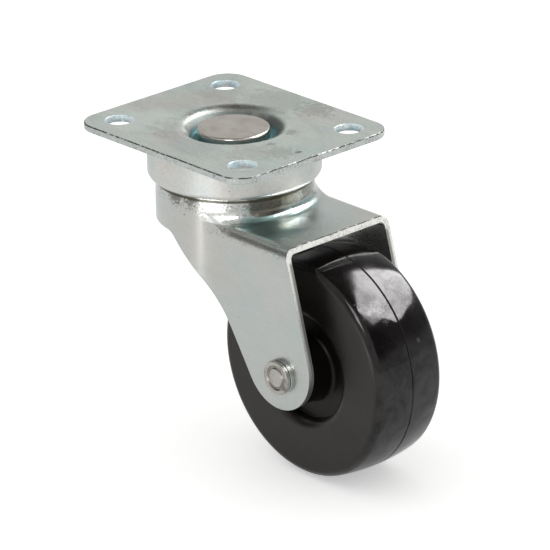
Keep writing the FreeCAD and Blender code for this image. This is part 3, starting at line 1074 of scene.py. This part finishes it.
def finished(name: str, shape: bmesh.types.BMesh, sharp_angle: float = 32.0) -> bpy.types.Object:
    """Turn a built shape into an object that is shaded smooth between its sharp edges.

    Args:
        name: The object's name.
        shape: The built shape, which is freed.
        sharp_angle: Edges that turn more than this many degrees stay sharp.

    Returns:
        The object, at the origin.
    """
    mesh = bpy.data.meshes.new(name)
    shape.to_mesh(mesh)
    shape.free()
    mesh.shade_smooth()
    mesh.set_sharp_from_angle(angle=math.radians(sharp_angle))
    thing = placed(name, mesh)
    weighted = thing.modifiers.new("weighted_normals", "WEIGHTED_NORMAL")
    weighted.keep_sharp = True
    weighted.mode = "FACE_AREA_WITH_ANGLE"
    return thing


def dress(thing: bpy.types.Object, materials: Sequence[Material], body: Body, slot: Slot,
          *nodes: str) -> bpy.types.Object:
    """Give a piece its finish and its body, and hide the nodes that it stands for.

    Args:
        thing: The piece.
        materials: Its materials, in slot order.
        body: The body that it rides on.
        slot: The record's finish; it is not used.
        *nodes: The nodes that it replaces.

    Returns:
        The piece.
    """
    for material in materials:
        thing.data.materials.append(material)
    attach(thing, body.value)
    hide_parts(*nodes)
    LOG.info("%s rides on %s with %d faces", thing.name, body.value, len(thing.data.polygons))
    return thing


def merged_copy(node: str) -> bmesh.types.BMesh:
    """A node's mesh with its loose triangles joined.

    Args:
        node: The node's name.

    Returns:
        The joined shape.
    """
    shape = bmesh.new()
    shape.from_mesh(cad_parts[node].data)
    bmesh.ops.remove_doubles(shape, verts=shape.verts[:], dist=NODE_WELD)
    bmesh.ops.dissolve_degenerate(shape, edges=shape.edges[:], dist=WELD)
    shape.normal_update()
    return shape


@dataclass
class SwivelHead:
    """The fixed half of the caster: plate, race cups, kingpin and lower balls."""

    groups: Groups
    lathe: Lathe
    hole_place: tuple[float, float] = (20.1, 15.6)
    hole_reach: float = 3.6
    flat_normal: float = 0.95
    dish_mouth: float = 13.58
    dish_floor: float = -3.4
    head_radius: float = 8.0
    head_top: float = -0.55
    head_round: float = 0.5
    shank_radius: float = 4.0
    shank_end: float = -12.85
    peen_radius: float = 5.6
    peen_height: float = 2.0
    cup_outer: float = 19.2
    cup_sheet: float = 1.4
    cup_top: float = -1.6
    cup_opening: float = 13.78
    cup_bottom: float = -10.8
    cup_bend: float = 1.9
    cup_lip: float = 1.2
    stains_and_painted_light: tuple[TintSpot, ...] = (
        TintSpot((-4.0, 17.5, 0.0), 9.0, 2.4, rgb(160, 160, 152), 0.50),
        TintSpot((22.9, -1.8, 0.0), 0.8, 2.6, rgb(70, 58, 52), 0.70, scale=1400.0),
        TintSpot((20.5, -4.6, 0.0), 3.8, 4.2, rgb(142, 130, 122), 0.34, scale=900.0),
        TintSpot((16.0, -9.0, 0.0), 6.0, 3.6, rgb(158, 148, 140), 0.30, scale=700.0),
        TintSpot((-14.0, -12.0, 0.0), 9.0, 2.4, rgb(204, 212, 207), 0.45),
        TintSpot((-20.0, 2.0, 0.0), 8.0, 2.6, rgb(176, 172, 164), 0.40),
        TintSpot((15.0, -2.8, 0.0), 1.2, 4.2, rgb(122, 120, 114), 0.55, scale=1600.0),
        TintSpot((12.6, 5.2, -0.2), 1.9, 3.6, rgb(110, 122, 118), 0.50, scale=1700.0),
        TintSpot((6.0, 18.6, 0.0), 5.0, 4.6, rgb(140, 134, 126), 0.42, scale=620.0),
        TintSpot((-7.5, -10.5, 0.0), 6.5, 4.2, rgb(162, 154, 148), 0.36, scale=520.0),
        TintSpot((-15.5, 10.5, 0.0), 6.0, 4.4, rgb(164, 160, 154), 0.36, scale=560.0),
    )

    def build_plate(self) -> None:
        """The pressed top plate, from the construction's own surface."""
        finish = ZincFinish(
            name="zinc_plated_plate_finish", base=rgb(192, 197, 191),
            cool=rgb(185, 196, 192), warm=rgb(194, 192, 188),
            dark=rgb(44, 46, 44), roughness=0.28, spread=0.05, cloud_scale=70.0,
            streak=0.42, speck_scale=520.0, speck_share=0.03, smudge=0.21, grain=0.08,
            # Painted shade: a dark teal line at the dish's floor, in the narrow gap round the kingpin's
            # head.
            spots=self.stains_and_painted_light, peel=30.0, oil_and_painted_shade=PaintedShadeLine(-3.4, 1.3, rgb(96, 134, 138)),
            # The dish's darker tone is painted shade.
            polish=DishZone(self.dish_mouth, -0.3, -1.2, 0.60, rgb(110, 115, 112)))
        # Painted light: the screw holes' walls take a near-white bluish colour that stands in for their
        # brightly lit look.
        hole_wall_painted_light = ZincFinish(
            name="zinc_plated_hole_wall_painted_light", base=rgb(232, 248, 252),
            cool=rgb(210, 238, 248), warm=rgb(240, 246, 246),
            dark=rgb(62, 78, 84), roughness=0.50, spread=0.08, cloud_scale=520.0,
            streak=0.6, speck_scale=1700.0, speck_share=0.38, smudge=0.40, grain=0.12, metallic=0.12)
        edge = ShearedEdgeFinish(
            name="zinc_plated_plate_edge_finish", bright=rgb(199, 204, 202),
            dark=rgb(50, 50, 46), roughness=0.56, line_level=-0.02)
        shape = merged_copy("top_plate")
        for face in shape.faces:
            face.material_index = self.plate_zone(face)
        thing = finished("top_plate_pressed", shape)
        dress(thing, [made.build(self.groups) for made in (finish, hole_wall_painted_light, edge)], Body.PLATE,
              Slot.PLATE, "top_plate")

    def plate_zone(self, face: bmesh.types.BMFace) -> int:
        """Which finish a face of the plate takes.

        Args:
            face: A face of the plate.

        Returns:
            0 for the rolled sheet, 1 for a screw hole's wall and 2 for the sheared rim.
        """
        centre = face.calc_center_median() / MM
        if abs(face.normal.z) > self.flat_normal or centre.xy.length < self.cup_outer:
            return 0
        holes = [(centre.xy - Vector((x * self.hole_place[0], y * self.hole_place[1]))).length
                 for x in (-1, 1) for y in (-1, 1)]
        return 1 if min(holes) < self.hole_reach else 2

    def build_cup(self) -> None:
        """The drawn cup under the plate."""
        inner = self.cup_outer - self.cup_sheet
        under = self.cup_top - self.cup_sheet
        corners = [
            Corner(self.cup_opening, self.cup_top, 0.15),
            Corner(self.cup_outer, self.cup_top, self.cup_bend),
            Corner(self.cup_outer, self.cup_bottom, self.cup_lip),
            Corner(inner, self.cup_bottom, 0.1),
            Corner(inner, under, self.cup_bend - self.cup_sheet),
            Corner(self.cup_opening, under, 0.15),
        ]
        finish = ZincFinish(
            name="zinc_plated_cup_finish", base=rgb(201, 203, 200),
            cool=rgb(196, 202, 200), warm=rgb(203, 201, 197),
            dark=rgb(90, 90, 86), roughness=0.45, spread=0.04, cloud_scale=110.0,
            streak=0.15, speck_scale=900.0, speck_share=0.04, smudge=0.10, grain=0.05)
        thing = self.lathe.turn("upper_race_cup_drawn", corners, True, Turning.KINGPIN, 192, 7)
        dress(thing, [finish.build(self.groups)], Body.PLATE, Slot.SHEET, "upper_race_cup")

    def build_kingpin(self) -> None:
        """The kingpin with its flat head and its peened lower end."""
        corners = [
            Corner(0.0, self.head_top),
            Corner(self.head_radius, self.head_top, self.head_round),
            Corner(self.head_radius, self.dish_floor, 0.12),
            Corner(self.shank_radius, self.dish_floor),
            Corner(self.shank_radius, self.shank_end),
            Corner(self.peen_radius, self.shank_end, 0.25),
            Corner(self.peen_radius * 0.72, self.shank_end - self.peen_height * 0.62, 1.6),
            Corner(0.0, self.shank_end - self.peen_height),
        ]
        finish = RivetFinish(
            name="kingpin_steel_finish", face=rgb(178, 171, 163),
            side=rgb(200, 202, 199), stain=rgb(166, 156, 148),
            tint=rgb(184, 181, 174), face_roughness=0.32, side_roughness=0.12, about=Turning.KINGPIN,
            face_at=self.head_top - self.head_round * 0.5)
        thing = self.lathe.turn("kingpin_rivet", corners, False, Turning.KINGPIN, 160, 6)
        dress(thing, [finish.build(self.groups)], Body.PLATE, Slot.RIVET, "kingpin")

    def build_lower_race(self, oiled: Material) -> None:
        """The small race cup under the fork's crown.

        Args:
            oiled: The finish of pressed steel under oil.
        """
        thing = finished("lower_race_cup_pressed", merged_copy("lower_race_cup"))
        dress(thing, [oiled], Body.PLATE, Slot.RACE, "lower_race_cup")


@dataclass
class BallRing:
    """A ring of bearing balls."""

    prefix: str
    count: int
    body: Body
    polish: Material
    subdivisions: int = 4

    def build(self) -> None:
        """Make each ball where the construction has it."""
        for index in range(self.count):
            node = "%s_%02d" % (self.prefix, index + 1)
            low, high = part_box(node)
            shape = bmesh.new()
            bmesh.ops.create_icosphere(shape, subdivisions=self.subdivisions, radius=(high.x - low.x) / 2,
                                       matrix=Matrix.Translation((low + high) / 2))
            dress(finished(node + "_polished", shape), [self.polish], self.body, Slot.BALL, node)


@dataclass
class ForkAssembly:
    """The turning half: the stamped fork, the axle and its bushing."""

    groups: Groups
    lathe: Lathe
    leg_outer: float = 15.25
    leg_inner: float = 13.85
    shelf_level: float = -16.3
    skirt_level: float = -20.6
    collar_radius: float = 3.95
    collar_height: float = 0.45
    neck_radius: float = 3.55
    neck_height: float = 0.2
    rim_radius: float = 3.85
    rim_height: float = 0.9
    rim_round: float = 0.3
    disc_radius: float = 2.0
    ring_radius: float = 2.9
    ring_depth: float = 0.3
    shank_radius: float = 3.0
    head_radius: float = 4.6
    head_height: float = 1.7
    front_starts: float = 32.0
    edge_margin: float = 0.05
    edge_below_shelf: float = 2.1
    level_normal: float = 0.02
    down_normal: float = 0.98
    ahead_normal: float = 0.9
    # Painted shade: a dark line on the bowl's wall just under the cup's lip.
    oil_and_painted_shade: PaintedShadeLine = PaintedShadeLine(-11.6, 0.45, rgb(70, 66, 52))
    polish: PolishZone = PolishZone(
        wall_low=-15.6, wall_high=-13.4, shelf_level=-16.3, shelf_starts=9.0, shelf_half=15.6,
        fade_from=21.0, fade_to=33.0, fold_low=-19.2, roughness=0.17)
    # The fork's spots: a teal tint on the shelf, then painted highlights, reflections and shade.
    stains_and_painted_light: tuple[TintSpot, ...] = (
        TintSpot((20.5, -9.0, -16.3), 9.5, 0.5, rgb(162, 194, 193), 0.80, (-16.42, -15.4)),
        # Painted highlight: a near-white spot on the shelf beside the bowl.
        TintSpot((22.2, -2.6, -16.3), 4.6, 0.4, rgb(252, 255, 254), 0.95, (-16.42, -15.4)),
        # Painted reflections: dark brown and olive spots on the bowl's wall.
        TintSpot((16.5, -5.6, -13.2), 5.4, 1.6, rgb(88, 76, 62), 0.80, (-15.2, -10.0), 700.0),
        TintSpot((17.3, -1.0, -12.0), 4.0, 2.2, rgb(140, 138, 110), 0.55, (-15.2, -10.0), 900.0),
        TintSpot((15.6, 7.4, -12.8), 5.0, 3.4, rgb(92, 92, 76), 0.70, (-15.2, -10.0), 1500.0),
        # Painted reflection: a teal spot that dims and tints the highlight on the bowl's foot.
        TintSpot((17.0, 3.4, -15.4), 7.5, 0.8, rgb(166, 188, 188), 0.75, (-16.25, -14.6)),
        # Painted highlights: near-white spots on the bowl's wall and on its flare.
        TintSpot((9.2, -14.8, -12.0), 4.8, 1.4, rgb(250, 250, 246), 0.85, (-15.6, -10.0), 1500.0),
        TintSpot((11.6, -14.6, -15.6), 5.4, 0.8, rgb(250, 252, 250), 0.85, (-16.2, -14.4), 1500.0),
        # Painted shade: dark spots on the bowl's wall just under the cup's lip.
        TintSpot((0.0, -17.4, -11.4), 2.6, 3.0, rgb(84, 84, 80), 0.75, (-15.2, -10.0), 1600.0),
        TintSpot((4.6, -16.8, -11.4), 2.4, 3.0, rgb(84, 84, 80), 0.70, (-15.2, -10.0), 1600.0),
    )

    def is_cut_edge(self, face: bmesh.types.BMFace) -> bool:
        """Whether a face of the fork belongs to the sheet's cut edge.

        Args:
            face: A face of the fork.

        Returns:
            True on the edge of a leg, of the skirt or of the shelf's front.
        """
        centre = face.calc_center_median() / MM
        flat_on = abs(face.normal.y) < self.level_normal
        between = self.leg_inner - self.edge_margin < abs(centre.y) < self.leg_outer + self.edge_margin
        leg_edge = flat_on and between and centre.z < self.shelf_level - self.edge_below_shelf
        skirt_edge = face.normal.z < -self.down_normal and centre.z < self.skirt_level + self.edge_margin
        front_edge = flat_on and face.normal.x > self.ahead_normal and centre.x > self.front_starts
        return leg_edge or skirt_edge or front_edge

    def build_fork(self) -> None:
        """The stamped fork, from the construction's own surface."""
        shape = merged_copy("fork")
        for face in shape.faces:
            face.material_index = 1 if self.is_cut_edge(face) else 0
        sheet = ZincFinish(
            name="zinc_plated_fork_finish", base=rgb(187, 190, 187),
            cool=rgb(182, 190, 188), warm=rgb(190, 189, 185),
            dark=rgb(96, 96, 92), roughness=0.31, spread=0.05, cloud_scale=60.0,
            streak=0.15, speck_scale=760.0, speck_share=0.03, smudge=0.08, grain=0.03,
            spots=self.stains_and_painted_light, polish=self.polish, oil_and_painted_shade=self.oil_and_painted_shade, metallic=0.88)
        edge = ShearedEdgeFinish(
            name="zinc_plated_cut_edge_finish", bright=rgb(238, 239, 234),
            dark=rgb(60, 60, 54), roughness=0.50, line_level=self.shelf_level,
            leg=LegEdge(self.shelf_level - 2.6, self.leg_inner + 0.5, self.leg_inner + 1.0,
                        -38.0, -48.0))
        thing = finished("fork_stamped", shape, 30.0)
        dress(thing, [sheet.build(self.groups), edge.build(self.groups)], Body.FORK, Slot.SHEET, "fork")

    def build_axle(self) -> None:
        """The axle rivet, with its turned end on the near side."""
        collar = -self.leg_outer - self.collar_height
        neck = collar - self.neck_height
        face = neck - self.rim_height
        middle = (self.disc_radius + self.ring_radius) / 2
        dome = self.leg_outer + self.head_height
        corners = [
            Corner(0.0, face),
            Corner(self.disc_radius, face, 0.12),
            Corner(middle, face + self.ring_depth, 0.25),
            Corner(self.ring_radius, face, 0.12),
            Corner(self.rim_radius, face, self.rim_round),
            Corner(self.rim_radius, neck, 0.08),
            Corner(self.neck_radius, neck),
            Corner(self.neck_radius, collar),
            Corner(self.collar_radius, collar, 0.15),
            Corner(self.collar_radius, -self.leg_outer),
            Corner(self.shank_radius, -self.leg_outer),
            Corner(self.shank_radius, self.leg_outer),
            Corner(self.head_radius, self.leg_outer, 0.12),
            Corner(self.head_radius * 0.80, dome - self.head_height * 0.30, 1.9),
            Corner(0.0, dome),
        ]
        finish = RivetFinish(
            name="axle_steel_finish", face=rgb(166, 162, 155),
            side=rgb(188, 190, 186), stain=rgb(112, 106, 98),
            tint=rgb(178, 176, 170), face_roughness=0.26, side_roughness=0.14, about=Turning.AXLE,
            face_at=face + 0.25, middle=self.lathe.axle,
            ring=(self.disc_radius - 0.1, self.ring_radius + 0.1))
        thing = self.lathe.turn("axle_rivet", corners, False, Turning.AXLE, 112, 4)
        dress(thing, [finish.build(self.groups)], Body.FORK, Slot.RIVET, "axle")

    def build_bushing(self, oiled: Material) -> None:
        """The sleeve that the wheel turns on.

        Args:
            oiled: The finish of turned steel under oil.
        """
        thing = finished("axle_bushing_turned", merged_copy("axle_bushing"))
        dress(thing, [oiled], Body.FORK, Slot.RACE, "axle_bushing")


@dataclass
class RollingWheel:
    """The solid wheel."""

    groups: Groups
    lathe: Lathe
    radius: float = 25.4
    width: float = 19.1
    edge_round: float = 1.9
    crown_radius: float = 53.0
    crown_points: int = 9
    seam_width: float = 0.5
    seam_depth: float = 0.35
    dish_wall: float = 11.9
    dish_round: float = 2.4
    dish_depth: float = 2.8
    hub_radius: float = 7.5
    hub_fillet: float = 1.0
    hub_round: float = 0.6
    hub_half: float = 13.55
    bore: float = 4.55

    def half_section(self, sign: int) -> list[Corner]:
        """One side of the wheel's half section, from the seam to the bore.

        Args:
            sign: 1 for the far side, -1 for the near one.

        Returns:
            The corners in order.
        """
        face = self.width / 2
        floor = face - self.dish_depth
        crown_centre = self.radius - self.crown_radius
        corners = []
        first = self.seam_width / 2
        for index in range(self.crown_points):
            share = index / (self.crown_points - 1)
            place = first + (face - self.edge_round * 0.9 - first) * share
            radius = crown_centre + math.sqrt(self.crown_radius ** 2 - place ** 2)
            corners.append(Corner(radius, sign * place, 0.06 if index == 0 else 0.0))
        edge = crown_centre + math.sqrt(self.crown_radius ** 2 - face ** 2)
        corners[-1:] = [Corner(edge, sign * face, self.edge_round)]
        corners += [
            Corner(self.dish_wall, sign * face, self.dish_round),
            Corner(self.dish_wall, sign * floor, 0.25),
            Corner(self.hub_radius, sign * floor, self.hub_fillet),
            Corner(self.hub_radius, sign * self.hub_half, self.hub_round),
            Corner(self.bore, sign * self.hub_half, 0.15),
        ]
        return corners

    def build(self) -> None:
        """The wheel with its finish."""
        groove = Corner(self.radius - self.seam_depth, 0.0)
        corners = [groove] + self.half_section(1) + self.half_section(-1)[::-1]
        finish = RubberFinish(
            name="black_hard_rubber_finish", axle=self.lathe.axle, wheel_radius=self.radius,
            tread=rgb(11, 9, 8), side=rgb(14, 12, 10), scuff=rgb(176, 168, 172),
            tread_roughness=0.10, side_roughness=0.36, side_starts=self.width / 2 - 0.1,
            marks=(TreadMark(46.0, -3.6, 4.2, 2.4), TreadMark(48.0, 4.6, 3.4, 2.4)),
            nicks=(TreadMark(22.5, 3.6, 0.5, 3.4),), dish_radius=self.dish_wall)
        thing = self.lathe.turn("wheel_moulded", corners, True, Turning.AXLE, 224, 7)
        dress(thing, [finish.build(self.groups)], Body.WHEEL, Slot.RUBBER, "wheel")


@dataclass(frozen=True)
class Glow:
    """A soft round region of the studio that shiny surfaces mirror."""

    azimuth: float
    elevation: float
    inner: float
    outer: float
    colour: Colour

    def share(self, canvas: Canvas, way: Feed) -> Socket:
        """How much of the region a way looks at.

        Args:
            canvas: The world's canvas.
            way: The way that is looked.

        Returns:
            The mask's socket.
        """
        lined = canvas.vector("DOT_PRODUCT", way, towards(self.azimuth, self.elevation)).outputs["Value"]
        return canvas.step(lined, math.cos(math.radians(self.outer)), math.cos(math.radians(self.inner)))


@dataclass(frozen=True)
class SoftBox:
    """A rectangular lamp that points at the caster, with its distance and size in metres."""

    name: str
    azimuth: float
    elevation: float
    distance: float
    size: tuple[float, float]
    radiance: float
    colour: tuple[float, float, float]
    lights_floor: bool = False

    def build(self, target: Vector) -> None:
        """Make the lamp.

        Args:
            target: The point it faces, in metres.
        """
        light = bpy.data.lights.new(self.name, "AREA")
        light.shape = "RECTANGLE"
        light.size, light.size_y = self.size
        light.energy = 4.0 * self.radiance * self.size[0] * self.size[1]
        light.color = self.colour
        lamp = placed(self.name, light)
        away = towards(self.azimuth, self.elevation)
        lamp.location = target + away * self.distance
        lamp.rotation_mode = "QUATERNION"
        lamp.rotation_quaternion = away.to_track_quat("Z", "Y")
        lamp.visible_camera = False
        lamp.visible_diffuse = self.lights_floor


@dataclass
class Studio:
    """The pale floor, the white surroundings, the lamps and the camera."""

    floor_half: float = 6.0
    floor_gap: float = 0.0002
    floor_glow: float = 0.42
    floor_mirrored: float = 0.24
    ambient: float = 0.80
    surroundings: Colour = (0.62, 0.62, 0.61, 1.0)
    lamp_target: tuple[float, float, float] = (0.012, 0.0, -0.035)
    focal_pixels: float = 4835.452
    camera_azimuth: float = 0.836
    camera_elevation: float = 0.386
    camera_roll: float = -0.023
    camera_shift: tuple[float, float] = (-9.043, 32.971)
    camera_distance: float = 1055.977
    sensor: float = 36.0

    def build_floor(self) -> None:
        """A pale floor that keeps the caster's shadow and is clear from below."""
        shape = bmesh.new()
        level = CAD_BOX[0].z - self.floor_gap
        bmesh.ops.create_grid(shape, x_segments=1, y_segments=1, size=self.floor_half,
                              matrix=Matrix.Translation((0.0, 0.0, level)))
        mesh = bpy.data.meshes.new("studio_floor")
        shape.to_mesh(mesh)
        shape.free()
        paper = Surface("studio_floor_paper")
        tone = paper.mix(paper.cloud(60.0), rgb(240, 240, 239), rgb(244, 244, 243))
        rays = paper.add("ShaderNodeLightPath").outputs
        seen = paper.highest(rays["Is Camera Ray"], rays["Is Transmission Ray"])
        mirrored = paper.times(rays["Is Glossy Ray"], self.floor_mirrored)
        glow = paper.highest(paper.times(seen, self.floor_glow), mirrored)
        paper.coat(Base_Color=tone, Roughness=0.9, Specular_IOR_Level=0.0, Emission_Color=WHITE,
                   Emission_Strength=glow)
        behind = paper.add("ShaderNodeNewGeometry").outputs["Backfacing"]
        clear = paper.add("ShaderNodeBsdfTransparent").outputs[0]
        side = paper.add("ShaderNodeMixShader", {0: behind, 1: paper.shader.outputs[0], 2: clear})
        paper.feed(paper.tree.nodes["Material Output"].inputs["Surface"], side.outputs[0])
        mesh.materials.append(paper.material)
        placed("studio_floor", mesh)

    def build_world(self) -> None:
        """White surroundings, with the tones that shiny metal and rubber mirror."""
        world = bpy.data.worlds.new("studio_surroundings")
        bpy.context.scene.world = world
        world.use_nodes = True
        canvas = Canvas(world.node_tree)
        shader = world.node_tree.nodes["Background"]
        way = canvas.add("ShaderNodeTexCoord").outputs["Generated"]
        glows = (
            Glow(22.0, 26.0, 8.0, 22.0, (0.06, 0.055, 0.055, 1.0)),
            Glow(52.0, 26.0, 8.0, 22.0, (0.20, 0.195, 0.195, 1.0)),
            Glow(150.0, 14.0, 30.0, 75.0, (0.80, 0.82, 0.81, 1.0)),
            Glow(105.0, 72.0, 24.0, 44.0, (0.10, 0.095, 0.09, 1.0)),
            Glow(-148.0, 26.0, 8.0, 30.0, (0.14, 0.13, 0.12, 1.0)),
        )
        tone: Feed = self.surroundings
        for glow in glows:
            tone = canvas.mix(glow.share(canvas, way), tone, glow.colour)
        rays = canvas.add("ShaderNodeLightPath").outputs
        mirrored = canvas.highest(rays["Is Glossy Ray"], rays["Is Transmission Ray"])
        lit = canvas.mix(mirrored, (self.ambient, self.ambient, self.ambient, 1.0), tone)
        canvas.feed(shader.inputs["Color"], canvas.mix(rays["Is Camera Ray"], lit, WHITE))
        shader.inputs["Strength"].default_value = 1.0

    def build_lamps(self) -> None:
        """The soft lamps."""
        boxes = (
            SoftBox("window_box", 68.0, 45.5, 0.80, (0.64, 0.43), 9.0, (1.0, 0.99, 1.0)),
            SoftBox("window_side", 38.0, 47.0, 0.80, (0.16, 0.26), 4.4, (0.98, 0.97, 1.0)),
            SoftBox("front_box", -60.0, 40.0, 0.80, (0.28, 0.32), 4.8, (1.0, 1.0, 0.99)),
            SoftBox("low_card", -82.0, -9.0, 0.115, (0.06, 0.022), 2.0, (1.0, 1.0, 1.0)),
            SoftBox("left_box", -165.0, 40.0, 1.2, (0.5, 0.4), 0.6, (1.0, 1.0, 1.0), True),
        )
        for box in boxes:
            box.build(Vector(self.lamp_target))

    def build_camera(self) -> None:
        """The camera at the photograph's place."""
        turn, rise, roll = self.camera_azimuth, self.camera_elevation, self.camera_roll
        back = Vector((math.sin(turn) * math.cos(rise), -math.cos(turn) * math.cos(rise), math.sin(rise)))
        right = Vector((math.cos(turn), math.sin(turn), 0.0))
        up = back.cross(right)
        across = right * math.cos(roll) + up * math.sin(roll)
        upward = up * math.cos(roll) - right * math.sin(roll)
        place = (across * -self.camera_shift[0] + upward * -self.camera_shift[1]
                 + back * self.camera_distance) * MM
        data = bpy.data.cameras.new("photo_camera")
        data.sensor_fit = "HORIZONTAL"
        data.sensor_width = self.sensor
        data.lens = self.focal_pixels / PHOTO_PIXELS * self.sensor
        data.clip_start, data.clip_end = 0.01, 100.0
        camera = placed("photo_camera", data)
        rows = Matrix((across, upward, back)).transposed().to_4x4()
        camera.matrix_world = Matrix.Translation(place) @ rows
        bpy.context.scene.camera = camera

    def build(self) -> None:
        """All of the studio."""
        self.build_floor()
        self.build_world()
        self.build_lamps()
        self.build_camera()
        bpy.context.scene.view_settings.view_transform = "Standard"


def main() -> None:
    """Build the caster and its studio."""
    logging.basicConfig(level=logging.INFO, format="%(name)s: %(message)s")
    low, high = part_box("wheel")
    lathe = Lathe((low + high) / 2 / MM)
    groups = Groups()
    oiled = OiledSteelFinish("oiled_race_finish", rgb(182, 182, 178),
                             rgb(150, 138, 118), 0.28, 240.0).build(groups)
    polish = OiledSteelFinish("ball_polish_finish", rgb(214, 214, 216),
                              rgb(196, 190, 178), 0.09, 420.0).build(groups)

    head = SwivelHead(groups, lathe)
    head.build_plate()
    head.build_cup()
    head.build_kingpin()
    head.build_lower_race(oiled)
    BallRing("lower_ball", 8, Body.PLATE, polish).build()

    fork = ForkAssembly(groups, lathe)
    fork.build_fork()
    fork.build_axle()
    fork.build_bushing(oiled)
    BallRing("upper_ball", 12, Body.FORK, polish).build()

    RollingWheel(groups, lathe).build()
    Studio().build()


if __name__ == "__main__":
    main()
